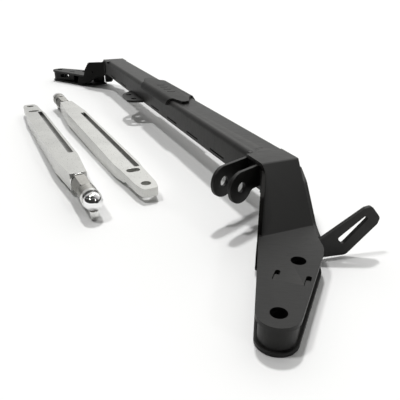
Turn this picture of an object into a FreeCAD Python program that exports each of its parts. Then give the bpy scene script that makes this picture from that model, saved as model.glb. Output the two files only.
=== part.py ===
"""Suspension crossbeam with two dropped arms, and its two adjustable links.

Millimetres, +Z up, +Y along the beam. The near arm is at -Y, the far arm at +Y,
and both arms turn towards -X. The two links lie loose beside the beam, on its -X side.
Heights are above the floor that the arm bases and the links lie on. Everything on the
beam is drawn about the beam's centre line, and beam_x moves it to its place.
"""
import FreeCAD, Part
import math
import os
import Sketcher

V = FreeCAD.Vector

# ---------------------------------------------------------------- driving dimensions

DIMS = {
    # beam section
    "beam_x": 101.9, "beam_half": 25.0, "beam_top": 85.5, "beam_bottom": 46.2,
    "plate": 4.8, "left_bend": 8.0, "right_bend": 3.0, "overhang": 3.6,
    "plate_corner": 25.0,
    "bend_end": 401.0, "upper_fold": 441.6, "lower_fold": 521.0,
    "arm_top": 32.0, "arm_reach": 690.0, "arm_width": 300.0,
    "fold_in": 3.0, "fold_out": 7.8,
    # arm bores: the inner one and the one at the tip
    "bore": 8.1, "inner_x": -60.5, "inner_y": -579.4,
    "tip_x": -123.7, "tip_y": -644.5, "tip_round": 20.9, "sleeve": 13.0,
    "shoulder_round": 40.0,
    # webs
    "left_web_x": -27.0, "right_web_x": 25.0, "web_round": 10.0, "web_hole": 3.0,
    "web_hole_x": 52.0, "web_hole_z": 46.0,
    # strap round the arm tip
    "strap_out": 17.9, "strap_in": 13.1, "strap_leg": 104.0,
    "strap_hole": 4.0, "strap_hole_at": 40.4, "strap_hole_z": 14.8,
    "tip_hole_at": 17.5, "tip_hole_z": 7.9, "strap_mid": 15.5, "short_leg": 63.0,
    "window_from": 13.5, "window_to": 34.5, "window_low": 8.7, "window_high": 17.9,
    "slot_at": 57.0, "slot_long": 18.5, "slot_wide": 5.4, "slot_round": 2.6,
    "tab_at": 54.6, "tab_long": 12.6, "tab_rise": 3.0,
    # clevis ears
    "ear_thick": 5.0, "ear_hole_z": 59.6, "ear_round": 21.1, "ear_hole": 6.7,
    "ear_neck_z": 51.0, "ear_blend": 6.0, "ear_in": 33.0,
    "outboard_reach": 35.2, "outboard_y": -432.0,
    "inboard_reach": 47.0, "inboard_y": -400.9,
    # slotted bracket
    "bracket_x": -3.6, "bracket_y": -548.5, "bracket_thick": 5.0,
    # bottom plate and its ear
    "floor_end": 440.0, "tab_hole": 6.0, "tab_hole_x": -40.6,
    "tab_hole_near": 102.0, "tab_hole_far": 143.5,
    # wall slits
    "slit_long": 50.0, "slit_tall": 2.4, "slit_z": 52.2,
    # saddle over the splice
    "saddle_half": 137.0, "saddle_drop": 77.2, "saddle_slot_pitch": 21.3,
    "saddle_shift": 1.0, "saddle_slot_round": 1.2, "saddle_clearance": 0.2,
    # link body
    "link_tall": 26.0, "eye_hole": 7.4, "groove_depth": 8.0, "link_axis": 13.0,
    "shank": 8.0, "fit": 0.05, "bore_from": 405.0, "link_end": 497.0,
    "link_rest_z": -3.74,
    # link hardware, along the link from its eye
    "washer": 13.2, "washer_end": 503.0, "hex_start": 506.0, "hex_end": 545.0,
    "hex_flats": 25.0, "hex_neck": 11.4, "gap": 0.3, "shank_start": 425.0,
    "neck": 13.6, "ring_start": 567.2, "ring_end": 574.5, "ring": 14.2,
    # ball joint, heights above and below the ball's centre
    "ball_at": 581.0, "ball": 7.6, "socket": 7.65, "housing": 13.0,
    "housing_low": 10.0, "housing_high": 8.0, "cavity": 9.25, "cavity_low": 8.0,
    "cavity_high": 9.0, "lip": 7.6, "seat": 9.2, "seat_low": 4.5, "seat_high": 8.9,
    "cap_high": 13.0, "relief": 10.8, "relief_low": 30.0, "stud_neck": 4.6, "stud": 6.25,
    "stud_top": 13.0, "stud_cone": 1.2,
    "stud_taper": 20.0, "stud_tip": 4.0, "stud_end": 25.9,
}

TILT = 1.656          # links lean up towards the ball stud, which stands on the floor
LEFT_LINK = (-250.6, 238.7, -87.37)
RIGHT_LINK = (-138.4, -299.5, 94.22)
EAR_TURN = 202.3      # heading of the ears, out of the left wall
BRACKET_TURN = -8.0
LEFT_WEB_TURN = -121.96
RIGHT_WEB_TURN = -108.9
SLIT_CENTRES = {"near": (-300, -200, -100, 0), "far": (0, 250, 350)}


def tip_corner():
    """Corner where the two edges that are tangent to the tip's round would meet."""
    right_edge, left_edge = math.radians(-134.8), math.radians(-120.7)
    middle = (right_edge + left_edge) / 2
    reach = DIMS["tip_round"] / math.sin((left_edge - right_edge) / 2)
    return (DIMS["tip_x"] + reach * math.cos(middle),
            DIMS["tip_y"] + reach * math.sin(middle), DIMS["tip_round"])


def slanted_slot(length, width, turn, rounding):
    """Corners of a turned slot about its own centre."""
    angle = math.radians(turn)
    c, s = math.cos(angle), math.sin(angle)
    half = [(length / 2, width / 2), (-length / 2, width / 2),
            (-length / 2, -width / 2), (length / 2, -width / 2)]
    return [(a * c - b * s, a * s + b * c, rounding) for a, b in half]


def both_sides(half):
    """A closed outline from its +Y half, listed along X."""
    return half + [(x, -y, r) for x, y, r in reversed(half)]


def outlines():
    """Corner points (x, y, corner radius) of every sketched outline."""
    d = DIMS
    b, p, top, low = d["beam_half"], d["plate"], d["beam_top"], d["beam_bottom"]
    slope = math.atan2(top - d["arm_top"], d["lower_fold"] - d["upper_fold"])
    under = p * math.tan(slope / 2)
    edge = b + d["overhang"]
    shapes = {}
    shapes["fold"] = [
        (-d["bend_end"], top, 0), (-d["upper_fold"], top, d["fold_out"]),
        (-d["lower_fold"], d["arm_top"], d["fold_in"]), (-d["arm_reach"], d["arm_top"], 0),
        (-d["arm_reach"], d["arm_top"] - p, 0),
        (under - d["lower_fold"], d["arm_top"] - p, d["fold_out"]),
        (under - d["upper_fold"], top - p, d["fold_in"]), (-d["bend_end"], top - p, 0)]
    tip = tip_corner()
    shoulder = (-21.4, -571.0, d["shoulder_round"])
    shapes["arm"] = [
        (b, -d["bend_end"], 0), (b, -d["upper_fold"], 0), (-2.4, -521.6, 0),
        (-12.4, -546.0, 0), shoulder, tip, (-74.5, -520.8, 0),
        (-edge, -453.0, d["plate_corner"]), (-edge, -d["bend_end"], 0)]
    shapes["base"] = [
        (-5.8, -530.0, 0), (-12.4, -546.0, 0), shoulder, tip, (-80.0, -530.0, 0)]
    half, wide = d["slot_long"] / 2, d["slot_wide"] / 2
    for side, middle in (("left", d["strap_mid"]), ("right", -d["strap_mid"])):
        shapes[side + "_strap_slot"] = [
            (d["slot_at"] + along * half, middle + across * wide, d["slot_round"])
            for along, across in ((-1, -1), (1, -1), (1, 1), (-1, 1))]
    shapes["near_gusset"] = [(-16.3, -548.2, 0), (-34.0, -574.5, 0), (-38.0, -571.8, 0),
                             (-20.3, -545.5, 0)]
    shapes["far_gusset"] = [(-9.4, -538.3, 0), (-34.0, -574.5, 0), (-38.0, -571.8, 0),
                            (-13.4, -535.6, 0)]
    shapes["section"] = [
        (-b, low, 0), (-b, top, d["left_bend"]), (b, top, d["right_bend"]), (b, low, 0),
        (b - p, low, 0), (b - p, top - p, 0), (p - b, top - p, d["left_bend"] - p),
        (p - b, low, 0)]
    shapes["left_wall"] = [(-b, low, 0), (-b, top - p, 0), (p - b, top - p, 0), (p - b, low, 0)]
    shapes["right_wall"] = [(b - p, low, 0), (b - p, top - p, 0), (b, top - p, 0), (b, low, 0)]
    shapes["left_web"] = [
        (0, 77.0, 0), (5, 77.7, 0), (67, 70.8, d["web_round"]), (84.5, 48.0, 12), (91, 27.2, 0),
        (112, 27.2, 4), (118, 12.0, 0), (118, p, 0), (104, p, 0), (67, 15.6, 12),
        (37, 32.0, 12), (18, 37.0, 0), (0, 42.0, 0)]
    shapes["right_web"] = [
        (0, 74.0, 0), (30, 66.4, 30), (83, 32.6, 20), (103, 27.2, 0), (103, p, 0),
        (94, p, 0), (72, 9.0, 6), (66, 13.5, 6), (56.4, 43.0, 5), (50, low, 0), (0, low, 0)]
    hole_z, neck_z = d["ear_hole_z"], d["ear_neck_z"]
    shapes["outboard_neck"] = [
        (-3, neck_z, 0), (-3, top - p, 0), (d["outboard_reach"], top - p, 0),
        (d["outboard_reach"], neck_z, 0)]
    shapes["inboard_neck"] = [
        (-d["ear_in"], neck_z, 0), (-d["ear_in"], top - p, 0), (-30.8, top - p, 0),
        (-30.8, top, 0), (-18.4, top, 0), (-18.4, top - p, 0), (-9.7, top - p, 0),
        (-9.7, top, 0), (-3.2, top, 0), (-3.2, top - p, 0),
        (d["inboard_reach"], top - p, 0), (d["inboard_reach"], neck_z, 0)]
    shapes["bracket"] = [
        (-15, p, 0), (28.5, 3.7, 8), (64.6, 39.0, 6), (67.0, 47.0, 6), (54.2, 62.6, 5),
        (45.7, 61.2, 6), (-8.0, 27.2, 0), (-15, 27.2, 0)]
    shapes["bracket_slot"] = [
        (15.4, 26.8, 2.5), (22.6, 17.8, 3), (51.6, 48.0, 2.2), (47.4, 51.6, 2.2)]
    shapes["floor_plate"] = [
        (b - p, -d["floor_end"], 0), (b - p, d["floor_end"], 0), (p - b, d["floor_end"], 0),
        (p - b, 184, 0), (-b, 184, 0), (-51.0, 157, 8), (-57.4, 137, 8), (-57.4, 92, 9),
        (-46, 84, 12), (-b, 78, 0), (p - b, 78, 0), (p - b, -d["floor_end"], 0)]
    shapes["saddle"] = [
        (-b - p, d["saddle_drop"], 0), (-b - p, top + p, d["left_bend"] + p),
        (b + p, top + p, d["right_bend"] + p), (b + p, 50.0, 0), (b, 50.0, 0),
        (b, top, d["right_bend"]), (-b, top, d["left_bend"] - d["saddle_clearance"]),
        (-b, d["saddle_drop"], 0)]
    shapes["saddle_end"] = [
        (-45, -72, 0), (-24.5, -84, 7), (-17, -87, 8), (-9.5, -119.5, 5), (3.8, -117, 8),
        (15.6, -87, 8), (25.6, -76, 0), (25.6, -160, 0), (-45, -160, 0)]
    shapes["flange_end"] = [(-76, 95, 0), (-76, 86, 0), (-137, 49, 0), (-160, 49, 0),
                            (-160, 95, 0)]
    shapes["saddle_slot"] = slanted_slot(16, 3, 158, d["saddle_slot_round"])
    shapes["link_plan"] = both_sides([
        (-20, 11.5, 6), (0, 15.5, 30), (55, 17.5, 60), (82, 19.8, 60), (408, 19.8, 30),
        (d["link_end"], 12.7, 0)])
    shapes["link_under"] = [
        (-25, -5, 0), (-25, 12.6, 0), (48, 12.6, 0), (48, 9.0, 0), (130, 0, 0), (130, -5, 0)]
    shapes["link_window"] = [(47, -10.8, 6.6), (61, -10.8, 6.6), (61, 10.8, 6.6),
                             (47, 10.8, 6.6)]
    shapes["link_groove"] = [(66, 6.6, 3), (394, 6.6, 3), (394, 15.4, 3), (66, 15.4, 3)]
    return shapes


OUTLINES = outlines()

doc = FreeCAD.newDocument("crossbeam")
dims = doc.addObject("Spreadsheet::Sheet", "Dims")


def fill_sheet():
    """Write every driving dimension and every outline corner into its own named cell."""
    cells = dict(DIMS)
    for name, corners in OUTLINES.items():
        for number, corner in enumerate(corners, 1):
            for letter, value in zip("xyr", corner):
                cells[f"{name}_{letter}{number}"] = value
    for row, (alias, value) in enumerate(cells.items(), 1):
        dims.set(f"A{row}", alias)
        dims.set(f"B{row}", f"{value:.6f}")
        dims.setAlias(f"B{row}", alias)
    doc.recompute()


# ---------------------------------------------------------------- sketch and body helpers

def new_body(label):
    body = doc.addObject("PartDesign::Body", label)
    body.Label = label
    return body


def sketch_on(body, role, offset=None):
    """A sketch on one of the body's origin planes, moved along the plane's normal."""
    sketch = body.newObject("Sketcher::SketchObject", body.Name + "_sketch")
    plane = next(f for f in body.Origin.OriginFeatures if f.Role == role)
    sketch.AttachmentSupport = (plane, "")
    sketch.MapMode = "FlatFace"
    if offset:
        sketch.setExpression(".AttachmentOffset.Base.z", offset)
    return sketch


def bind(sketch, kind, places, value, expression):
    index = sketch.addConstraint(Sketcher.Constraint(kind, *places, value))
    sketch.setExpression(f"Constraints[{index}]", expression)


def place_point(sketch, geometry, position, point, expressions):
    bind(sketch, "DistanceX", (-1, 1, geometry, position), point.x, expressions[0])
    bind(sketch, "DistanceY", (-1, 1, geometry, position), point.y, expressions[1])


def ends_of_round(before, corner, after, radius):
    """Where a corner's round leaves its two edges, and the round's middle point."""
    to_before = (before - corner).normalize()
    to_after = (after - corner).normalize()
    half = to_before.getAngle(to_after) / 2
    reach = radius / math.tan(half)
    inward = (to_before + to_after).normalize()
    middle = corner + inward * (radius / math.sin(half) - radius)
    return corner + to_before * reach, middle, corner + to_after * reach


def draw_outline(sketch, name, shift=""):
    """Closed outline with rounded corners, each corner and radius bound to its cell."""
    corners = [V(x, y, 0) for x, y, _ in OUTLINES[name]]
    radii = [r for _, _, r in OUTLINES[name]]
    count = len(corners)
    rounds = {}
    for i in range(count):
        if radii[i]:
            rounds[i] = ends_of_round(corners[i - 1], corners[i], corners[(i + 1) % count],
                                      radii[i])
    lines = []
    for i in range(count):
        following = (i + 1) % count
        start = rounds[i][2] if i in rounds else corners[i]
        end = rounds[following][0] if following in rounds else corners[following]
        lines.append(sketch.addGeometry(Part.LineSegment(start, end)))
    for i in range(count):
        entering, leaving = lines[i - 1], lines[i]
        cells = (f"Dims.{name}_x{i + 1}", f"Dims.{name}_y{i + 1}{shift}")
        if i not in rounds:
            sketch.addConstraint(Sketcher.Constraint("Coincident", entering, 2, leaving, 1))
            place_point(sketch, leaving, 1, corners[i], cells)
            continue
        arc = sketch.addGeometry(Part.Arc(*rounds[i]))
        first = 1 if sketch.getPoint(arc, 1).distanceToPoint(rounds[i][0]) < 1e-4 else 2
        point = sketch.addGeometry(Part.Point(corners[i]), True)
        place_point(sketch, point, 1, corners[i], cells)
        sketch.addConstraint([
            Sketcher.Constraint("PointOnObject", point, 1, entering),
            Sketcher.Constraint("PointOnObject", point, 1, leaving),
            Sketcher.Constraint("Tangent", entering, 2, arc, first),
            Sketcher.Constraint("Tangent", arc, 3 - first, leaving, 1)])
        bind(sketch, "Radius", (arc,), radii[i], f"Dims.{name}_r{i + 1}")


def draw_circle(sketch, centre, radius, x_cell, y_cell, radius_cell):
    circle = sketch.addGeometry(Part.Circle(V(*centre, 0), V(0, 0, 1), radius))
    place_point(sketch, circle, 3, V(*centre, 0), (x_cell, y_cell))
    bind(sketch, "Radius", (circle,), radius, radius_cell)


def pad(body, sketch, length, midplane=False, reverse=False):
    feature = body.newObject("PartDesign::Pad", body.Name + "_pad")
    feature.Profile = sketch
    feature.setExpression("Length", length)
    feature.Midplane = midplane
    feature.Reversed = reverse
    doc.recompute()
    return feature


def pocket(body, sketch, depth=None, midplane=True, reverse=False):
    """Cut the sketch out, right through unless a depth is given."""
    before = body.Shape.Volume
    feature = body.newObject("PartDesign::Pocket", body.Name + "_pocket")
    feature.Profile = sketch
    if depth:
        feature.setExpression("Length", depth)
    else:
        feature.Type = 1
        feature.Midplane = midplane
    feature.Reversed = reverse
    doc.recompute()
    if not body.Shape.Volume < before - 1e-3:
        raise RuntimeError(f"pocket in {body.Label} cuts nothing")
    return feature


def revolve(body, sketch):
    """Turn the sketch a full turn about the sketch's own vertical axis."""
    feature = body.newObject("PartDesign::Revolution", body.Name + "_turn")
    feature.Profile = sketch
    feature.ReferenceAxis = (sketch, ["V_Axis"])
    feature.Angle = 360
    doc.recompute()
    return feature


def set_place(thing, x, y, z="0", turn=0.0, lean=0.0):
    """Turn about Z (and lean up along X), then bind the position to its expressions."""
    thing.Placement = FreeCAD.Placement(V(0, 0, 0), FreeCAD.Rotation(turn, -lean, 0))
    for axis, expression in zip("xyz", (x, y, z)):
        thing.setExpression(f".Placement.Base.{axis}", expression)


def on_beam(thing, x="0", y="0", z="0", turn=0.0):
    set_place(thing, f"Dims.beam_x + {x}", y, z, turn)


def cut(label, base, tools):
    """The base less the tools, as the named sub-part."""
    tool = tools[0]
    if len(tools) > 1:
        tool = doc.addObject("Part::MultiFuse", label + "_tools")
        tool.Shapes = tools
    result = doc.addObject("Part::Cut", label)
    result.Label = label
    result.Base = base
    result.Tool = tool
    return result


def mirrored(label, source):
    """The far end's copy of a near piece, mirrored across the beam's mid-length."""
    copy = doc.addObject("Part::Mirroring", label)
    copy.Label = label
    copy.Source = source
    copy.Normal = V(0, 1, 0)
    copy.Base = V(0, 0, 0)
    return copy


NODES = []


def keep(*things):
    NODES.extend(things)


# ---------------------------------------------------------------- beam and arms

def channel_blank():
    """One half of the beam: a folded C-section whose walls run on under the arm plate."""
    body = new_body("channel_blank")
    section = sketch_on(body, "XZ_Plane")
    draw_outline(section, "section")
    pad(body, section, "Dims.bend_end")
    walls = sketch_on(body, "XZ_Plane", "Dims.bend_end")
    draw_outline(walls, "left_wall")
    draw_outline(walls, "right_wall")
    pad(body, walls, "Dims.upper_fold - Dims.bend_end")
    on_beam(body)
    return body


def arm_plate_blank():
    """The arm's top: a plate level with the beam's, folded down a ramp and out flat."""
    body = new_body("arm_plate_blank")
    fold = sketch_on(body, "YZ_Plane")
    draw_outline(fold, "fold")
    pad(body, fold, "2 * Dims.arm_width", midplane=True)
    plan = sketch_on(body, "XY_Plane")
    draw_outline(plan, "arm")
    margin = DIMS["plate"]
    wide, near, far = DIMS["arm_width"], -DIMS["arm_reach"], -DIMS["bend_end"]
    frame = [(-wide, near), (wide, near), (wide, far), (-wide, far)]
    corners = [V(x + math.copysign(margin, x), y + (margin if y == far else -margin), 0)
               for x, y in frame]
    for start, end in zip(corners, corners[1:] + corners[:1]):
        plan.addGeometry(Part.LineSegment(start, end))
    pocket(body, plan)
    holes = sketch_on(body, "XY_Plane")
    draw_bores(holes)
    pocket(body, holes)
    on_beam(body)
    return body


def draw_bores(sketch):
    for name in ("inner", "tip"):
        centre = (DIMS[name + "_x"], DIMS[name + "_y"])
        draw_circle(sketch, centre, DIMS["bore"], f"Dims.{name}_x", f"Dims.{name}_y",
                    "Dims.bore")


def web(label, outline, turn, edge_x, reverse):
    """Side plate of the arm, standing on edge from the beam's end down to the base."""
    body = new_body(label)
    sketch = sketch_on(body, "XZ_Plane")
    draw_outline(sketch, outline)
    pad(body, sketch, "Dims.plate", reverse=reverse)
    on_beam(body, f"Dims.{edge_x}", "-Dims.upper_fold", turn=turn)
    return body


def left_web():
    body = web("near_left_web", "left_web", LEFT_WEB_TURN, "left_web_x", True)
    hole = sketch_on(body, "XZ_Plane")
    draw_circle(hole, (DIMS["web_hole_x"], DIMS["web_hole_z"]), DIMS["web_hole"],
                "Dims.web_hole_x", "Dims.web_hole_z", "Dims.web_hole")
    pocket(body, hole)
    return body


def arm_base():
    """Plate under the arm, the same outline as the arm's flat top."""
    body = new_body("near_arm_base")
    plan = sketch_on(body, "XY_Plane")
    draw_outline(plan, "base")
    pad(body, plan, "Dims.plate")
    holes = sketch_on(body, "XY_Plane")
    draw_bores(holes)
    pocket(body, holes)
    on_beam(body)
    return body


def arm_gusset(label, outline):
    """Upright plate that closes the arm's right side between its root web and the strap."""
    body = new_body(label)
    plan = sketch_on(body, "XY_Plane")
    draw_outline(plan, outline)
    pad(body, plan, "Dims.arm_top - 2 * Dims.plate")
    on_beam(body, z="Dims.plate")
    return body


def strap_turn():
    """Heading from the tip bore to the inner bore."""
    return math.degrees(math.atan2(DIMS["inner_y"] - DIMS["tip_y"],
                                   DIMS["inner_x"] - DIMS["tip_x"]))


def rectangle(sketch, left, right, low, high, cells):
    """Upright rectangle; cells name its left, right, low and high expressions."""
    corners = [(left, low, 0, 2), (right, low, 1, 2), (right, high, 1, 3), (left, high, 0, 3)]
    points = [V(x, y, 0) for x, y, _, _ in corners]
    lines = [sketch.addGeometry(Part.LineSegment(points[i], points[(i + 1) % 4]))
             for i in range(4)]
    for i, (_, _, column, row) in enumerate(corners):
        sketch.addConstraint(Sketcher.Constraint("Coincident", lines[i - 1], 2, lines[i], 1))
        place_point(sketch, lines[i], 1, points[i], (cells[column], cells[row]))


def strap_loop(body, tall):
    """Two legs and the round between them, with the left leg cut short."""
    d = DIMS
    for radius, make in (("strap_out", pad), ("strap_in", pocket)):
        for part in ("round", "legs"):
            sketch = sketch_on(body, "XY_Plane")
            if part == "round":
                draw_circle(sketch, (0, 0), d[radius], "0", "0", f"Dims.{radius}")
            else:
                rectangle(sketch, 0, d["strap_leg"], -d[radius], d[radius],
                          ("0", "Dims.strap_leg", f"-Dims.{radius}", f"Dims.{radius}"))
            if make is pad:
                pad(body, sketch, tall)
            else:
                pocket(body, sketch)
    trim = sketch_on(body, "XY_Plane")
    rectangle(trim, d["short_leg"], d["strap_leg"] + d["plate"], 0, 2 * d["strap_out"],
              ("Dims.short_leg", "Dims.strap_leg + Dims.plate", "0", "2 * Dims.strap_out"))
    pocket(body, trim)


def strap_openings(body):
    """A hole in each leg, and a window in the left one."""
    d = DIMS
    depth = "Dims.strap_out + Dims.plate"
    for name, right_leg in (("strap_hole", False), ("tip_hole", True)):
        hole = sketch_on(body, "XZ_Plane")
        draw_circle(hole, (d[name + "_at"], d[name + "_z"]), d["strap_hole"],
                    f"Dims.{name}_at", f"Dims.{name}_z", "Dims.strap_hole")
        pocket(body, hole, depth, reverse=right_leg)
    window = sketch_on(body, "XZ_Plane")
    rectangle(window, d["window_from"], d["window_to"], d["window_low"], d["window_high"],
              ("Dims.window_from", "Dims.window_to", "Dims.window_low", "Dims.window_high"))
    pocket(body, window, depth)


def strap_tabs(body, tall):
    """The tab that each leg puts up through its slot in the arm's top."""
    d = DIMS
    tabs = sketch_on(body, "XY_Plane", tall)
    half = d["plate"] / 2
    for side, sign in ((1, ""), (-1, "-")):
        rectangle(tabs, d["tab_at"] - d["tab_long"] / 2, d["tab_at"] + d["tab_long"] / 2,
                  side * d["strap_mid"] - half, side * d["strap_mid"] + half,
                  ("Dims.tab_at - Dims.tab_long / 2", "Dims.tab_at + Dims.tab_long / 2",
                   f"{sign}Dims.strap_mid - Dims.plate / 2",
                   f"{sign}Dims.strap_mid + Dims.plate / 2"))
    pad(body, tabs, "Dims.tab_rise")


def tip_strap():
    """J-shaped strap on edge round the tip bore, with a tab up through each arm slot."""
    body = new_body("near_tip_strap")
    tall = "Dims.arm_top - 2 * Dims.plate"
    strap_loop(body, tall)
    strap_openings(body)
    strap_tabs(body, tall)
    on_beam(body, "Dims.tip_x", "Dims.tip_y", "Dims.plate", strap_turn())
    return body


def strap_slots():
    """The two slots through the arm's top, one over each leg of the strap."""
    body = new_body("strap_slots")
    sketch = sketch_on(body, "XY_Plane")
    for side in ("left", "right"):
        draw_outline(sketch, side + "_strap_slot")
    pad(body, sketch, "2 * Dims.plate")
    on_beam(body, "Dims.tip_x", "Dims.tip_y", "Dims.arm_top - 1.5 * Dims.plate", strap_turn())
    return body


def sleeve(label, place):
    """Tube between the arm's two plates round a bore."""
    body = new_body(label)
    sketch = sketch_on(body, "XY_Plane")
    draw_circle(sketch, (0, 0), DIMS["sleeve"], "0", "0", "Dims.sleeve")
    draw_circle(sketch, (0, 0), DIMS["bore"], "0", "0", "Dims.bore")
    pad(body, sketch, "Dims.arm_top - 2 * Dims.plate")
    on_beam(body, f"Dims.{place}_x", f"Dims.{place}_y", "Dims.plate")
    return body


def ear(name):
    """Clevis ear: a round eye on a neck that stands out of the beam's left wall."""
    d = DIMS
    body = new_body(name + "_ear_blank")
    neck = sketch_on(body, "XZ_Plane")
    draw_outline(neck, name + "_neck")
    pad(body, neck, "Dims.ear_thick")
    reach = d[name + "_reach"]
    eye = sketch_on(body, "XZ_Plane")
    draw_circle(eye, (reach, d["ear_hole_z"]), d["ear_round"], f"Dims.{name}_reach",
                "Dims.ear_hole_z", "Dims.ear_round")
    lug = pad(body, eye, "Dims.ear_thick")
    drop = d["ear_hole_z"] - d["ear_neck_z"]
    inner_corner = V(reach - math.sqrt(d["ear_round"] ** 2 - drop ** 2), 0, d["ear_neck_z"])
    blend = body.newObject("PartDesign::Fillet", name + "_ear_blend")
    blend.Base = (lug, upright_edges(lug.Shape, inner_corner))
    blend.setExpression("Radius", "Dims.ear_blend")
    doc.recompute()
    hole = sketch_on(body, "XZ_Plane")
    draw_circle(hole, (reach, d["ear_hole_z"]), d["ear_hole"], f"Dims.{name}_reach",
                "Dims.ear_hole_z", "Dims.ear_hole")
    pocket(body, hole)
    on_beam(body, "-Dims.beam_half", f"Dims.{name}_y", turn=EAR_TURN)
    return body


def upright_edges(shape, corner):
    """Names of the straight edges across a plate's thickness at one corner (x, z)."""
    names = []
    for number, edge in enumerate(shape.Edges, 1):
        ends = [v.Point for v in edge.Vertexes]
        flat = all(math.hypot(p.x - corner.x, p.z - corner.z) < 0.05 for p in ends)
        if len(ends) == 2 and flat:
            names.append(f"Edge{number}")
    return names


def slotted_bracket():
    body = new_body("slotted_bracket")
    sketch = sketch_on(body, "XZ_Plane")
    draw_outline(sketch, "bracket")
    draw_outline(sketch, "bracket_slot")
    pad(body, sketch, "Dims.bracket_thick", reverse=True)
    on_beam(body, "Dims.bracket_x", "Dims.bracket_y", turn=BRACKET_TURN)
    return body


def bottom_plate():
    """Plate that closes the channel from below, with a drilled ear through the left wall."""
    d = DIMS
    body = new_body("bottom_plate")
    plan = sketch_on(body, "XY_Plane")
    draw_outline(plan, "floor_plate")
    for place in ("near", "far"):
        draw_circle(plan, (d["tab_hole_x"], d["tab_hole_" + place]), d["tab_hole"],
                    "Dims.tab_hole_x", f"Dims.tab_hole_{place}", "Dims.tab_hole")
    pad(body, plan, "Dims.plate")
    on_beam(body, z="Dims.beam_bottom")
    return body


def splice_saddle():
    """Folded cover over the joint between the two channels."""
    body = new_body("splice_saddle")
    section = sketch_on(body, "XZ_Plane")
    draw_outline(section, "saddle")
    pad(body, section, "2 * Dims.saddle_half", midplane=True)
    slots = sketch_on(body, "XY_Plane")
    for step in (-1.5, -0.5, 0.5, 1.5):
        draw_outline(slots, "saddle_slot",
                     f" + Dims.saddle_shift + {step} * Dims.saddle_slot_pitch")
    pocket(body, slots)
    on_beam(body)
    return body


def saddle_trim():
    """What the saddle's near end lacks: a scalloped top and a slanted side flange."""
    top = new_body("saddle_top_trim")
    plan = sketch_on(top, "XY_Plane")
    draw_outline(plan, "saddle_end")
    pad(top, plan, "2 * Dims.beam_top")
    on_beam(top)
    flange = new_body("saddle_flange_trim")
    side = sketch_on(flange, "YZ_Plane", "Dims.beam_half")
    draw_outline(side, "flange_end")
    pad(flange, side, "3 * Dims.plate")
    on_beam(flange)
    return [top, flange]


def wall_slits(side):
    """Long slits low in the left wall."""
    boxes = []
    for number, centre in enumerate(SLIT_CENTRES[side], 1):
        box = doc.addObject("Part::Box", f"{side}_slit_{number}")
        box.setExpression("Length", "3 * Dims.plate")
        box.setExpression("Width", "Dims.slit_long")
        box.setExpression("Height", "Dims.slit_tall")
        on_beam(box, "(-Dims.beam_half - 2 * Dims.plate)", f"{centre} - Dims.slit_long / 2",
                "Dims.slit_z - Dims.slit_tall / 2")
        boxes.append(box)
    return boxes


def build_beam():
    blank, plate, slots = channel_blank(), arm_plate_blank(), strap_slots()
    left = left_web()
    right = web("near_right_web", "right_web", RIGHT_WEB_TURN, "right_web_x", True)
    base, strap, bracket, floor = arm_base(), tip_strap(), slotted_bracket(), bottom_plate()
    gusset = arm_gusset("near_arm_gusset", "near_gusset")
    far_gusset = mirrored("far_arm_gusset", arm_gusset("far_gusset_blank", "far_gusset"))
    inner = sleeve("near_inner_sleeve", "inner")
    tip = sleeve("near_tip_sleeve", "tip")
    inboard = ear("inboard")
    inboard.Label = "inboard_clevis_ear"
    near = cut("near_channel", blank, [inboard] + wall_slits("near"))
    arm_plate = cut("near_arm_plate", plate, [left, slots])
    outboard = cut("outboard_clevis_ear", ear("outboard"), [near])
    far_left = mirrored("far_left_web", left)
    far_right = mirrored("far_right_web", right)
    far = cut("far_channel", mirrored("far_blank", blank),
              [floor] + wall_slits("far"))
    trims = saddle_trim()
    trims += [mirrored(f"far_trim_{n}", piece) for n, piece in enumerate(trims)]
    saddle = cut("splice_saddle_trimmed", splice_saddle(), trims)
    saddle.Base.Label = "saddle_blank"
    saddle.Label = "splice_saddle"
    keep(near, far, saddle, floor, left, right, far_left, far_right, base, gusset, strap,
         inner, tip, inboard, outboard, bracket, far_gusset, arm_plate)
    for piece in (arm_plate, base, strap, inner, tip):
        keep(mirrored(piece.Label.replace("near", "far"), piece))


# ---------------------------------------------------------------- links

def lay_link(thing, link):
    """Put a piece drawn along the link's own X, from its eye, where that link lies."""
    x, y, heading = link
    set_place(thing, f"Dims.beam_x + {x}", f"{y}", "Dims.link_rest_z", heading, TILT)


def link_body(side, link, groove_side):
    """Milled bar: an eye lug at one end, a bore for the threaded shank at the other."""
    d = DIMS
    body = new_body(f"{side}_link_body")
    plan = sketch_on(body, "XY_Plane")
    draw_outline(plan, "link_plan")
    pad(body, plan, "Dims.link_tall")
    under = sketch_on(body, "XZ_Plane")
    draw_outline(under, "link_under")
    pocket(body, under)
    holes = sketch_on(body, "XY_Plane")
    draw_circle(holes, (0, 0), d["eye_hole"], "0", "0", "Dims.eye_hole")
    draw_outline(holes, "link_window")
    pocket(body, holes)
    groove = sketch_on(body, "XY_Plane", "Dims.link_tall")
    draw_outline(groove, "link_groove")
    if groove_side < 0:
        groove.AttachmentOffset = FreeCAD.Placement(V(0, 0, 0), FreeCAD.Rotation(V(1, 0, 0), 180))
        groove.setExpression(".AttachmentOffset.Base.z", "Dims.link_tall")
    pocket(body, groove, "Dims.groove_depth", reverse=groove_side < 0)
    bore = sketch_on(body, "YZ_Plane", "Dims.bore_from")
    radius, radius_cell = running_bore()
    draw_circle(bore, (0, d["link_axis"]), radius, "0", "Dims.link_axis", radius_cell)
    pocket(body, bore, "Dims.link_end - Dims.bore_from + Dims.plate", reverse=True)
    lay_link(body, link)
    return body


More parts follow.
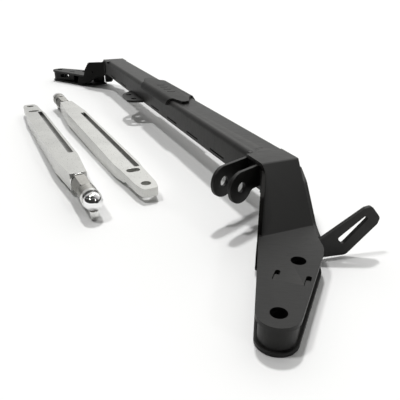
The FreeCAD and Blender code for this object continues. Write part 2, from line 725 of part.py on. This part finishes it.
def turned_piece(label, start, end, outer, inner, link):
    """Round piece along the link's axis between two expressions, with an optional bore."""
    body = new_body(label)
    sketch = sketch_on(body, "YZ_Plane", start)
    radius, radius_cell = outer
    draw_circle(sketch, (0, DIMS["link_axis"]), radius, "0", "Dims.link_axis", radius_cell)
    if inner:
        draw_circle(sketch, (0, DIMS["link_axis"]), inner[0], "0", "Dims.link_axis", inner[1])
    pad(body, sketch, f"{end} - ({start})")
    lay_link(body, link)
    return body


def size(name):
    return DIMS[name], f"Dims.{name}"


def running_bore():
    return DIMS["shank"] + DIMS["fit"], "Dims.shank + Dims.fit"


def hex_adjuster(side, link):
    """Long hexagon that turns on the shank, with a round shoulder on the washer."""
    d = DIMS
    body = turned_piece(f"{side}_hex_adjuster", "Dims.washer_end + Dims.gap",
                        "Dims.hex_start", size("hex_neck"), running_bore(), link)
    hexagon = sketch_on(body, "YZ_Plane", "Dims.hex_start")
    across = d["hex_flats"] / math.sqrt(3)
    corners = [V(across * math.cos(math.radians(60 * k)),
                 d["link_axis"] + across * math.sin(math.radians(60 * k)), 0)
               for k in range(6)]
    lines = [hexagon.addGeometry(Part.LineSegment(corners[k], corners[(k + 1) % 6]))
             for k in range(6)]
    rim = hexagon.addGeometry(Part.Circle(V(0, d["link_axis"], 0), V(0, 0, 1), across), True)
    place_point(hexagon, rim, 3, V(0, d["link_axis"], 0), ("0", "Dims.link_axis"))
    bind(hexagon, "Radius", (rim,), across, "Dims.hex_flats / sqrt(3)")
    for k in range(6):
        hexagon.addConstraint(Sketcher.Constraint("Coincident", lines[k - 1], 2, lines[k], 1))
        hexagon.addConstraint(Sketcher.Constraint("PointOnObject", lines[k], 1, rim))
    for k in range(5):
        hexagon.addConstraint(Sketcher.Constraint("Equal", lines[k], lines[k + 1]))
    hexagon.addConstraint(Sketcher.Constraint("Horizontal", lines[1]))
    bore, bore_cell = running_bore()
    draw_circle(hexagon, (0, d["link_axis"]), bore, "0", "Dims.link_axis", bore_cell)
    pad(body, hexagon, "Dims.hex_end - Dims.hex_start")
    return body


def ball_joint_piece(label, link, profile):
    """Turned about the ball joint's upright axis from (radius, height, expressions)."""
    body = new_body(label)
    sketch = sketch_on(body, "XZ_Plane")
    sketch.setExpression(".AttachmentOffset.Base.x", "Dims.ball_at")
    sketch.setExpression(".AttachmentOffset.Base.y", "Dims.link_axis")
    draw_profile(sketch, profile)
    revolve(body, sketch)
    lay_link(body, link)
    return body


def draw_profile(sketch, profile):
    """Closed profile of bound corners. An entry with a third item, a middle point, starts
    an arc to the next corner that is centred on the axis.
    """
    points = [V(*entry[0], 0) for entry in profile]
    count = len(points)
    ends = []
    for i, entry in enumerate(profile):
        start, end = points[i], points[(i + 1) % count]
        if len(entry) == 2:
            ends.append((sketch.addGeometry(Part.LineSegment(start, end)), 1, 2))
            continue
        arc = sketch.addGeometry(Part.Arc(start, V(*entry[2], 0), end))
        first = 1 if sketch.getPoint(arc, 1).distanceToPoint(start) < 1e-4 else 2
        sketch.addConstraint(Sketcher.Constraint("PointOnObject", arc, 3, -2))
        ends.append((arc, first, 3 - first))
    for i, entry in enumerate(profile):
        before, here = ends[i - 1], ends[i]
        sketch.addConstraint(
            Sketcher.Constraint("Coincident", before[0], before[2], here[0], here[1]))
        place_point(sketch, here[0], here[1], points[i], entry[1])


def corner(radius, height, below=False):
    """A profile corner from the names of its radius and height cells."""
    x = DIMS[radius] if radius else 0
    z = DIMS[height] if height else 0
    sign = "-" if below else ""
    return ((x, -z if below else z),
            (f"Dims.{radius}" if radius else "0", f"{sign}Dims.{height}" if height else "0"))


def on_globe(height, below=False):
    """A profile corner on the housing's round outside, at the height of a named cell."""
    z, sign = DIMS[height], "-" if below else ""
    radius = math.sqrt(DIMS["housing"] ** 2 - z ** 2)
    return ((radius, -z if below else z),
            (f"sqrt(Dims.housing ^ 2 - Dims.{height} ^ 2)", f"{sign}Dims.{height}"))


def globe_middle(low, high):
    """A point of the round outside halfway between two heights."""
    angle = (math.asin(low / DIMS["housing"]) + math.asin(high / DIMS["housing"])) / 2
    return DIMS["housing"] * math.cos(angle), DIMS["housing"] * math.sin(angle)


def housing(side, link):
    """Round cup of the ball joint, open at the top for the seat and necked below."""
    d = DIMS
    bulge = globe_middle(-d["housing_low"], d["housing_high"])
    return ball_joint_piece(f"{side}_ball_housing", link, [
        corner("lip", "housing_low", True), (*on_globe("housing_low", True), bulge),
        on_globe("housing_high"), corner("cavity", "housing_high"),
        corner("cavity", "cavity_low", True), corner("lip", "cavity_low", True)])


def housing_cap(side, link):
    """Domed cover pressed on the cup, closing the cavity over the seat."""
    d = DIMS
    dome = globe_middle(d["housing_high"], d["cap_high"])
    return ball_joint_piece(f"{side}_housing_cap", link, [
        corner("cavity", "housing_high"), (*on_globe("housing_high"), dome),
        corner("", "cap_high"), corner("", "cavity_high"), corner("cavity", "cavity_high")])


def ball_seat(side, link):
    """Plastic seat round the ball, free to turn in the cup."""
    d = DIMS
    r, low = d["socket"], d["seat_low"]
    mouth = math.sqrt(r * r - low * low)
    half = (math.pi / 2 - math.asin(low / r)) / 2
    middle = (r * math.cos(half), r * math.sin(half))
    return ball_joint_piece(f"{side}_ball_seat", link, [
        ((mouth, -low), ("sqrt(Dims.socket ^ 2 - Dims.seat_low ^ 2)", "-Dims.seat_low")),
        corner("seat", "seat_low", True), corner("seat", "seat_high"), corner("", "seat_high"),
        ((0, r), ("0", "Dims.socket"), middle)])


def ball_stud(side, link):
    """Ball, waist and tapered pin in one turned piece, pointing down."""
    d = DIMS
    r, neck = d["ball"], d["stud_neck"]
    low = math.sqrt(r * r - neck * neck)
    half = (math.pi / 2 - math.asin(low / r)) / 2
    middle = (r * math.cos(half), r * math.sin(half))
    return ball_joint_piece(f"{side}_ball_stud", link, [
        ((0, r), ("0", "Dims.ball"), middle),
        ((neck, -low), ("Dims.stud_neck", "-sqrt(Dims.ball ^ 2 - Dims.stud_neck ^ 2)")),
        ((neck, d["stud_cone"] - d["stud_top"]),
         ("Dims.stud_neck", "Dims.stud_cone - Dims.stud_top")),
        corner("stud", "stud_top", True), corner("stud", "stud_taper", True),
        corner("stud_tip", "stud_end", True), corner("", "stud_end", True)])


def joint_hollow(side, link):
    """The room that the housing and the stud's swing take out of the neck and the shank."""
    d = DIMS
    bulge = globe_middle(-d["housing_low"], d["cap_high"])
    return ball_joint_piece(f"{side}_joint_hollow", link, [
        corner("", "relief_low", True), corner("relief", "relief_low", True),
        corner("relief", "housing_low", True), (*on_globe("housing_low", True), bulge),
        corner("", "cap_high")])


def build_link(side, link, groove_side):
    body = link_body(side, link, groove_side)
    washer = turned_piece(f"{side}_thrust_washer", "Dims.link_end", "Dims.washer_end",
                          size("washer"), running_bore(), link)
    adjuster = hex_adjuster(side, link)
    cup = housing(side, link)
    cap = housing_cap(side, link)
    neck = turned_piece(f"{side}_neck_blank", "Dims.hex_end + Dims.gap", "Dims.ring_start",
                        size("neck"), size("shank"), link)
    ring = turned_piece(f"{side}_ring_blank", "Dims.ring_start", "Dims.ring_end",
                        size("ring"), size("shank"), link)
    shank = turned_piece(f"{side}_shank_blank", "Dims.shank_start", "Dims.ring_end",
                         size("shank"), None, link)
    hollow = joint_hollow(side, link)
    socket_neck = cut(f"{side}_socket_neck", neck, [hollow])
    end_ring = cut(f"{side}_end_ring", ring, [hollow])
    threaded = cut(f"{side}_threaded_shank", shank, [hollow])
    keep(body, washer, adjuster, socket_neck, end_ring, threaded, cup, cap,
         ball_seat(side, link), ball_stud(side, link))


# ---------------------------------------------------------------- checks and export

def check_document():
    doc.recompute()
    for thing in doc.Objects:
        if "Invalid" in thing.State or "Error" in thing.State:
            raise RuntimeError(f"{thing.Label} failed: {thing.State}")
    for node in NODES:
        shape = node.Shape
        if shape.isNull() or not shape.isValid() or not shape.Solids:
            raise RuntimeError(f"{node.Label} has no valid solid")


def export():
    os.makedirs("parts", exist_ok=True)
    for node in NODES:
        node.Shape.exportStep(f"parts/{node.Label}.step")
        print(f"{node.Label}: {len(node.Shape.Solids)} solid, {node.Shape.Volume:.0f} mm3")
    box = FreeCAD.BoundBox()
    for node in NODES:
        box.add(node.Shape.BoundBox)
    print(f"box x {box.XMin:.2f} {box.XMax:.2f} y {box.YMin:.2f} {box.YMax:.2f} "
          f"z {box.ZMin:.2f} {box.ZMax:.2f}")


fill_sheet()
build_beam()
build_link("left", LEFT_LINK, 1)
build_link("right", RIGHT_LINK, -1)
check_document()
export()
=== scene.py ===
"""A welded drop-arm crossbeam with two adjustable billet links, on a pale studio floor."""

import math

import bmesh
import bpy
from mathutils import Matrix, Vector


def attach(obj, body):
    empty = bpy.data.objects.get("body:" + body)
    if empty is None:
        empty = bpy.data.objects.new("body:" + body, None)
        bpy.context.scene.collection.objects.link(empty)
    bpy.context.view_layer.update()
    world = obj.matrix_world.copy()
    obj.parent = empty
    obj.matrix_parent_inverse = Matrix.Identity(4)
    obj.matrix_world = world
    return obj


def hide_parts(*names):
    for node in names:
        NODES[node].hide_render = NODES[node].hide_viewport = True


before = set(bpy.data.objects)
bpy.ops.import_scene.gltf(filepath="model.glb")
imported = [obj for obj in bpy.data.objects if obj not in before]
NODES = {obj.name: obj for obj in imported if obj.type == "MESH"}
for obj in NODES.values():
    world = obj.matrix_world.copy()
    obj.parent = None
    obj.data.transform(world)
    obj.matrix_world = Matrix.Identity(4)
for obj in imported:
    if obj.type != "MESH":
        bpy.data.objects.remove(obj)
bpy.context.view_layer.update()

MILLIMETRE = 0.001
PANEL_TOWARDS = (0.60, 0.70, 0.38)
ROOM_LIGHT = [(0.0, 0.03), (0.30, 0.10), (0.50, 0.46), (0.62, 0.44), (0.80, 0.52), (0.95, 1.0)]
LINK_TILT = math.radians(1.656)
LINK_REST = {"left": (-148.7, 238.7, -87.37), "right": (-36.5, -299.5, 94.22)}
LINK_FLOOR = -3.74
BEAM_X = 101.9
BEAM_HALF_WIDTH = 25.0

CAMERA_PLACE = (-0.2171, -0.9291, 0.29905)
CAMERA_DOWN = 0.438
CAMERA_TURN = -0.401
CAMERA_LENS = 43.34

COAT_DARK = (0.0062, 0.0060, 0.0055)
COAT_LIGHT = (0.0092, 0.0089, 0.0083)
# Darker coat colours for the left webs: painted shade, standing in for the shadow those webs sit in.
WEB_SHADE_DARK = (0.0042, 0.0040, 0.0036)
WEB_SHADE_LIGHT = (0.0066, 0.0063, 0.0058)


# ---------------------------------------------------------------- places


def link_axes(side):
    """A link's eye on its underside, and its long, cross and upright directions."""
    x, y, heading = LINK_REST[side]
    turn = math.radians(heading)
    along = Vector((math.cos(turn) * math.cos(LINK_TILT), math.sin(turn) * math.cos(LINK_TILT),
                    math.sin(LINK_TILT)))
    across = Vector((-math.sin(turn), math.cos(turn), 0.0))
    return Vector((x, y, LINK_FLOOR)) * MILLIMETRE, along, across, along.cross(across)


def link_matrix(side):
    """From a link's own millimetres to the row frame."""
    origin, along, across, upright = link_axes(side)
    matrix = Matrix((along, across, upright)).transposed() * MILLIMETRE
    return Matrix.Translation(origin) @ matrix.to_4x4()


# ---------------------------------------------------------------- node helpers


class Shader:
    """One procedural material: its node tree, its links and its principled shader."""

    def __init__(self, name):
        self.material = bpy.data.materials.new(name)
        self.material.use_nodes = True
        self.tree = self.material.node_tree
        self.bsdf = self.tree.nodes["Principled BSDF"]

    def node(self, kind, **values):
        made = self.tree.nodes.new(kind)
        for key, value in values.items():
            if hasattr(made, key):
                setattr(made, key, value)
            else:
                made.inputs[key.replace("_", " ")].default_value = value
        return made

    def join(self, source, target):
        self.tree.links.new(source, target)

    def place(self, turn=0.0, stretch=(1.0, 1.0, 1.0)):
        """Object coordinates, turned about Z and stretched."""
        coordinates = self.node("ShaderNodeTexCoord")
        turned = self.node("ShaderNodeVectorRotate", rotation_type="Z_AXIS")
        turned.inputs["Angle"].default_value = turn
        self.join(coordinates.outputs["Object"], turned.inputs["Vector"])
        mapping = self.node("ShaderNodeMapping")
        mapping.inputs["Scale"].default_value = stretch
        self.join(turned.outputs["Vector"], mapping.inputs["Vector"])
        return mapping.outputs["Vector"]

    def along(self, origin, axis):
        """How far a point lies from origin along an axis, in metres."""
        coordinates = self.node("ShaderNodeTexCoord")
        away = self.node("ShaderNodeVectorMath", operation="SUBTRACT")
        away.inputs[1].default_value = origin
        self.join(coordinates.outputs["Object"], away.inputs[0])
        made = self.node("ShaderNodeVectorMath", operation="DOT_PRODUCT")
        made.inputs[1].default_value = axis
        self.join(away.outputs["Vector"], made.inputs[0])
        return made.outputs["Value"]

    def within(self, value, centre, reach):
        """1 where a value is within reach of centre, else 0."""
        made = self.node("ShaderNodeMath", operation="COMPARE")
        self.join(value, made.inputs[0])
        made.inputs[1].default_value = centre
        made.inputs[2].default_value = reach
        return made.outputs["Value"]

    def times(self, first, second):
        made = self.node("ShaderNodeMath", operation="MULTIPLY")
        self.join(first, made.inputs[0])
        self.join(second, made.inputs[1])
        return made.outputs["Value"]

    def noise(self, where, scale, detail=3.0, roughness=0.5):
        made = self.node("ShaderNodeTexNoise")
        made.inputs["Scale"].default_value = scale
        made.inputs["Detail"].default_value = detail
        made.inputs["Roughness"].default_value = roughness
        self.join(where, made.inputs["Vector"])
        return made.outputs["Fac"]

    def ramp(self, value, stops):
        made = self.node("ShaderNodeValToRGB")
        elements = made.color_ramp.elements
        while len(elements) < len(stops):
            elements.new(0.5)
        for element, (at, colour) in zip(elements, stops):
            element.position = at
            element.color = (*colour, 1.0)
        self.join(value, made.inputs["Fac"])
        return made.outputs["Color"]

    def span(self, value, low, high, start=0.3, stop=0.7):
        """The value's range start to stop, mapped to low to high."""
        made = self.node("ShaderNodeMapRange")
        for key, number in (("From Min", start), ("From Max", stop), ("To Min", low), ("To Max", high)):
            made.inputs[key].default_value = number
        self.join(value, made.inputs["Value"])
        return made.outputs["Result"]

    def blend(self, factor, first, second):
        made = self.node("ShaderNodeMix", data_type="RGBA")
        self.join(factor, made.inputs[0])
        for socket, value in ((made.inputs[6], first), (made.inputs[7], second)):
            if isinstance(value, tuple):
                socket.default_value = (*value, 1.0)
            else:
                self.join(value, socket)
        return made.outputs[2]

    def bump(self, height, strength, distance):
        made = self.node("ShaderNodeBump")
        made.inputs["Strength"].default_value = strength
        made.inputs["Distance"].default_value = distance
        self.join(height, made.inputs["Height"])
        return made.outputs["Normal"]

    def finish(self, colour, roughness, normal, **constants):
        self.join(colour, self.bsdf.inputs["Base Color"])
        self.join(roughness, self.bsdf.inputs["Roughness"])
        self.join(normal, self.bsdf.inputs["Normal"])
        for key, value in constants.items():
            self.bsdf.inputs[key.replace("_", " ")].default_value = value
        return self.material


# ---------------------------------------------------------------- materials


def powder_coat(name, dark, light, sheen):
    """Satin black powder coat: orange peel, faint dust, and a little rubbing along the edges."""
    rubbed_gain = 5.0
    shader = Shader(name)
    where = shader.place()
    broad = shader.noise(where, 9.0, 4.0)
    fine = shader.noise(where, 700.0, 2.0)
    scuff = shader.noise(shader.place(0.5, (1.0, 9.0, 1.0)), 60.0, 5.0, 0.65)
    colour = shader.ramp(broad, [(0.35, dark), (0.65, light)])
    rubbed = shader.span(shader.node("ShaderNodeNewGeometry").outputs["Pointiness"], 0.0, 0.5, 0.53, 0.62)
    colour = shader.blend(rubbed, colour, tuple(rubbed_gain * level for level in light))
    roughness = shader.span(scuff, 0.42, 0.54)
    normal = shader.bump(fine, 0.18, 0.0002)
    return shader.finish(colour, roughness, normal, Specular_IOR_Level=sheen)


def metal(name, dark, light, rough, turn=0.0, stretch=(1.0, 1.0, 1.0), grain=300.0, depth=0.1,
          mark=None, metallic=1.0):
    """A bare or plated metal with a grain along one direction and slight tarnish.

    mark(shader, colour) may lay darker areas over the metal.
    """
    shader = Shader(name)
    where = shader.place(turn, stretch)
    lines = shader.noise(where, grain, 3.0, 0.6)
    stain = shader.noise(shader.place(turn), 22.0, 4.0, 0.6)
    colour = shader.ramp(stain, [(0.3, dark), (0.7, light)])
    if mark:
        colour = mark(shader, colour)
    roughness = shader.span(lines, *rough)
    normal = shader.bump(lines, depth, 0.0001)
    return shader.finish(colour, roughness, normal, Metallic=metallic)


def seat_plastic():
    shader = Shader("acetal_cup")
    where = shader.place()
    colour = shader.ramp(shader.noise(where, 80.0), [(0.3, (0.62, 0.6, 0.52)), (0.7, (0.7, 0.68, 0.6))])
    fine = shader.noise(where, 900.0)
    return shader.finish(colour, shader.span(fine, 0.38, 0.5), shader.bump(fine, 0.1, 0.0001))


def painted_groove_shade(side):
    """Painted shade that darkens the two faces and the floor of a link's groove, mottled by noise."""
    origin, along, across, upright = link_axes(side)
    middle = {"left": 11.0, "right": -11.0}[side]
    half_width, half_length, half_depth = 4.6, 166.0, 4.0
    mid_length, mid_height = 230.0, 21.7

    def mark(shader, colour):
        inside = shader.within(shader.along(origin, across), middle * MILLIMETRE,
                               half_width * MILLIMETRE)
        deep = shader.within(shader.along(origin, upright), mid_height * MILLIMETRE,
                             half_depth * MILLIMETRE)
        length = shader.within(shader.along(origin, along), mid_length * MILLIMETRE,
                               half_length * MILLIMETRE)
        groove = shader.times(shader.times(inside, deep), length)
        shade_mottle = shader.noise(shader.place(), 140.0, 4.0, 0.6)
        # The groove's colour is painted shade, mottled by noise.
        groove_shade = shader.ramp(shade_mottle, [(0.35, (0.26, 0.26, 0.25)), (0.65, (0.40, 0.40, 0.385))])
        return shader.blend(groove, colour, groove_shade)

    return mark


def painted_flat_shade(shader, colour):
    """Painted shade on the adjuster's flats that do not face up, with the upward flats left light."""
    normal = shader.node("ShaderNodeNewGeometry").outputs["True Normal"]
    split = shader.node("ShaderNodeSeparateXYZ")
    to_object = shader.node("ShaderNodeVectorTransform", vector_type="NORMAL", convert_from="WORLD",
                            convert_to="OBJECT")
    shader.join(normal, to_object.inputs[0])
    shader.join(to_object.outputs[0], split.inputs[0])
    # Flats facing away from straight up blend towards a dark painted-shade colour.
    side = shader.span(split.outputs["Z"], 1.0, 0.0, 0.55, 0.95)
    return shader.blend(side, colour, (0.12, 0.118, 0.10))


def link_metals(side):
    """The metals of one link, with their grain laid along that link."""
    turn = -math.radians(LINK_REST[side][2])
    return {
        "milled_aluminium": metal(
            f"{side}_milled_aluminium", (0.52, 0.52, 0.50), (0.61, 0.61, 0.585), (0.26, 0.36),
            turn, (0.05, 1.0, 1.0), 1500.0, 0.04, painted_groove_shade(side), 0.72,
        ),
        "zinc_steel": metal(
            f"{side}_zinc_plate", (0.60, 0.60, 0.58), (0.78, 0.78, 0.76), (0.16, 0.28),
            turn, (1.0, 0.3, 0.3), 500.0, 0.1,
        ),
        "turned_steel": metal(
            f"{side}_turned_steel", (0.40, 0.39, 0.36), (0.52, 0.51, 0.48), (0.22, 0.36),
            turn, (1.0, 0.1, 0.1), 600.0, 0.2, painted_flat_shade,
        ),
        "chrome": metal(
            f"{side}_chrome_plate", (0.80, 0.80, 0.80), (0.90, 0.90, 0.90), (0.05, 0.12),
            turn, (1.0, 1.0, 1.0), 160.0, 0.5,
        ),
        "stud_steel": metal(
            f"{side}_ground_steel", (0.62, 0.62, 0.60), (0.74, 0.74, 0.72), (0.16, 0.26),
            turn, (0.3, 0.3, 1.0), 700.0, 0.12,
        ),
        "seat_plastic": seat_plastic(),
    }


# ---------------------------------------------------------------- CAD nodes


def seam_closer():
    """Node group that joins a CAD mesh's separate faces into one smooth-shaded skin."""
    group = bpy.data.node_groups.new("close_seams", "GeometryNodeTree")
    group.interface.new_socket("Geometry", in_out="INPUT", socket_type="NodeSocketGeometry")
    group.interface.new_socket("Geometry", in_out="OUTPUT", socket_type="NodeSocketGeometry")
    kinds = ("NodeGroupInput", "GeometryNodeRemoveAttribute", "GeometryNodeMergeByDistance",
             "GeometryNodeSetShadeSmooth", "NodeGroupOutput")
    chain = [group.nodes.new(kind) for kind in kinds]
    chain[1].inputs["Name"].default_value = "custom_normal"
    chain[2].inputs["Distance"].default_value = 0.002 * MILLIMETRE
    for before, after in zip(chain, chain[1:]):
        group.links.new(before.outputs[0], after.inputs[0])
    return group


def dress(node, material, width, closer):
    """Gives a CAD node its material, closes its seams and softens its edges."""
    for index in range(len(node.data.materials)):
        node.data.materials[index] = material
    node.modifiers.new("seam", "NODES").node_group = closer
    flat = node.modifiers.new("flat", "DECIMATE")
    flat.decimate_type = "DISSOLVE"
    flat.angle_limit = math.radians(0.4)
    bevel = node.modifiers.new("edge", "BEVEL")
    bevel.width = width
    bevel.segments = 2
    bevel.limit_method = "ANGLE"
    bevel.angle_limit = math.radians(38.0)
    bevel.use_clamp_overlap = True
    bevel.miter_outer = "MITER_ARC"
    shade = node.modifiers.new("shade", "WEIGHTED_NORMAL")
    shade.weight = 100
    shade.keep_sharp = False


def dress_frame(coats, metals):
    closer = seam_closer()
    widths = {"milled_aluminium": 0.5, "chrome": 0.25, "seat_plastic": 0.2}
    for name, node in NODES.items():
        slot = node.data.materials[0].name
        side = name.split("_")[0]
        if slot == "powder_coat":
            material = coats.get(name, coats["other"])
        else:
            material = metals[side][slot]
        width = widths.get(slot, 0.35) if slot != "powder_coat" else 0.7
        dress(node, material, width * MILLIMETRE, closer)


# ---------------------------------------------------------------- added detail


def new_piece(name, mesh, material, body):
    piece = bpy.data.objects.new(name, mesh)
    bpy.context.scene.collection.objects.link(piece)
    mesh.materials.append(material)
    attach(piece, body)
    return piece


def skin(name, rings):
    """A smooth mesh through rings of points, with its ends filled."""
    shell = bmesh.new()
    made = [[shell.verts.new(point) for point in ring] for ring in rings]
    count = len(rings[0])
    for low, high in zip(made, made[1:]):
        for i in range(count):
            shell.faces.new((low[i], low[(i + 1) % count], high[(i + 1) % count], high[i]))
    shell.faces.new(list(reversed(made[0])))
    shell.faces.new(made[-1])
    bmesh.ops.recalc_face_normals(shell, faces=shell.faces)
    for face in shell.faces:
        face.smooth = len(face.verts) == 4
    mesh = bpy.data.meshes.new(name)
    shell.to_mesh(mesh)
    shell.free()
    return mesh


def weld(name, start, end, radius, coat):
    """A rippled fillet weld between two points of the beam, in millimetres."""
    first, last = Vector(start), Vector(end)
    run = last - first
    direction = run.normalized()
    side = direction.orthogonal().normalized()
    other = direction.cross(side)
    ripple, step, count = 2.1, 0.35, 10
    stations = max(8, int(run.length / step))
    rings = []
    for i in range(stations + 1):
        at = i * run.length / stations
        taper = min(1.0, 0.35 + min(at, run.length - at) / radius)
        size = radius * taper * (0.86 + 0.14 * abs(math.sin(math.pi * at / ripple)))
        centre = first + direction * at + side * (0.12 * math.sin(at * 0.9))
        rings.append([
            (centre + (side * math.cos(a) + other * math.sin(a)) * size) * MILLIMETRE
            for a in (2 * math.pi * k / count for k in range(count))])
    return new_piece(name, skin(name, rings), coat, "beam")


def add_welds(coat):
    """Fillet welds at the beam's ends, the feet of the arms' webs and the bracket's foot."""
    wall = BEAM_X - BEAM_HALF_WIDTH - 1.2
    root, root_low, root_high = 441.0, 44.0, 76.0
    foot = 6.0
    for end, sign in (("near", -1.0), ("far", 1.0)):
        weld(f"{end}_left_root_weld", (wall, sign * root, root_low), (wall, sign * root, root_high),
             2.6, coat)
        weld(f"{end}_base_web_weld", (BEAM_X - 80.5, sign * 531.5, foot),
             (BEAM_X - 88.0, sign * 543.5, foot), 2.4, coat)
    weld("bracket_foot_weld", (BEAM_X - 16.0, -546.5, foot), (BEAM_X - 6.0, -547.8, foot), 2.2, coat)


def threads(side, metal_of):
    """The rod end's shank with a rolled helical thread, in place of the plain CAD cylinder."""
    matrix = link_matrix(side)
    root, crest, pitch, axis_height = 7.25, 8.0, 2.0, 13.0
    start, stop, around, per_turn = 425.0, 566.0, 28, 8
    stations = int((stop - start) / pitch * per_turn)
    rings = []
    for i in range(stations + 1):
        at = start + (stop - start) * i / stations
        ring = []
        for k in range(around):
            angle = 2 * math.pi * k / around
            phase = (at / pitch - k / around) % 1.0
            height = 1.0 - abs(2.0 * phase - 1.0)
            radius = root + (crest - root) * min(1.0, max(0.0, height * 1.5 - 0.2))
            ring.append(matrix @ Vector((at, radius * math.cos(angle),
                                         axis_height + radius * math.sin(angle))))
        rings.append(ring)
    name = f"{side}_rolled_thread"
    piece = new_piece(name, skin(name, rings), metal_of["zinc_steel"], f"{side}_rod_end")
    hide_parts(f"{side}_threaded_shank")


# ---------------------------------------------------------------- studio


def studio_floor():
    mesh = bpy.data.meshes.new("floor")
    edge = 30.0
    corners = [(-edge, -edge, 0.0), (edge, -edge, 0.0), (edge, edge, 0.0), (-edge, edge, 0.0)]
    mesh.from_pydata(corners, [], [(0, 1, 2, 3)])
    floor = bpy.data.objects.new("floor", mesh)
    bpy.context.scene.collection.objects.link(floor)
    shader = Shader("studio_paper")
    where = shader.place()
    paper = [(0.3, (0.90, 0.90, 0.895)), (0.7, (0.91, 0.91, 0.905))]
    colour = shader.ramp(shader.noise(where, 3.0), paper)
    fine = shader.noise(where, 400.0)
    roughness = shader.span(fine, 0.85, 0.95)
    normal = shader.bump(fine, 0.02, 0.0001)
    mesh.materials.append(shader.finish(colour, roughness, normal))
    shader.bsdf.inputs["Specular IOR Level"].default_value = 0.0


def sky():
    """A dim room with a large soft panel behind the object."""
    world = bpy.data.worlds.new("studio")
    world.use_nodes = True
    bpy.context.scene.world = world
    tree = world.node_tree
    background = tree.nodes["Background"]
    coordinates = tree.nodes.new("ShaderNodeTexCoord")
    panel = tree.nodes.new("ShaderNodeVectorMath")
    panel.operation = "DOT_PRODUCT"
    panel.inputs[1].default_value = Vector(PANEL_TOWARDS).normalized()
    ramp = tree.nodes.new("ShaderNodeValToRGB")
    elements = ramp.color_ramp.elements
    while len(elements) < len(ROOM_LIGHT):
        elements.new(0.5)
    for element, (at, level) in zip(elements, ROOM_LIGHT):
        element.position = at
        element.color = (level, level, level * 0.985, 1.0)
    tree.links.new(coordinates.outputs["Generated"], panel.inputs[0])
    tree.links.new(panel.outputs["Value"], ramp.inputs["Fac"])
    tree.links.new(ramp.outputs["Color"], background.inputs["Color"])
    background.inputs["Strength"].default_value = 1.35


def sun(name, towards, strength, spread):
    """A soft far light that shines along a direction."""
    data = bpy.data.lights.new(name, "SUN")
    data.energy = strength
    data.angle = math.radians(spread)
    lamp = bpy.data.objects.new(name, data)
    lamp.rotation_euler = Vector(towards).to_track_quat("-Z", "Y").to_euler()
    bpy.context.scene.collection.objects.link(lamp)


def camera():
    data = bpy.data.cameras.new("camera")
    data.lens = CAMERA_LENS
    data.sensor_width = 36.0
    data.clip_start = 0.01
    made = bpy.data.objects.new("camera", data)
    made.location = CAMERA_PLACE
    made.rotation_euler = (math.pi / 2 - CAMERA_DOWN, 0.0, CAMERA_TURN)
    bpy.context.scene.collection.objects.link(made)
    bpy.context.scene.camera = made


camera()
black_coat = powder_coat("powder_coat_black", COAT_DARK, COAT_LIGHT, 0.25)
# The left webs get a darker, duller copy of the black coat: painted shade for webs lying in shadow.
shaded_web_coat = powder_coat("powder_coat_web_painted_shade", WEB_SHADE_DARK, WEB_SHADE_LIGHT, 0.04)
saddle_coat = powder_coat("powder_coat_saddle", COAT_DARK, COAT_LIGHT, 0.12)
coats = {"other": black_coat, "near_left_web": shaded_web_coat, "far_left_web": shaded_web_coat,
         "splice_saddle": saddle_coat}
bare_metals = {side: link_metals(side) for side in LINK_REST}
dress_frame(coats, bare_metals)
add_welds(black_coat)
for link_side, link_metal in bare_metals.items():
    threads(link_side, link_metal)
studio_floor()
sky()
sun("key", (-0.17, -0.42, -1.0), 1.5, 5.0)
sun("fill", (0.34, -0.14, -1.0), 0.95, 7.0)
sun("glint", (-0.35, 0.75, -0.5), 0.25, 6.0)
bpy.context.scene.view_settings.view_transform = "Standard"
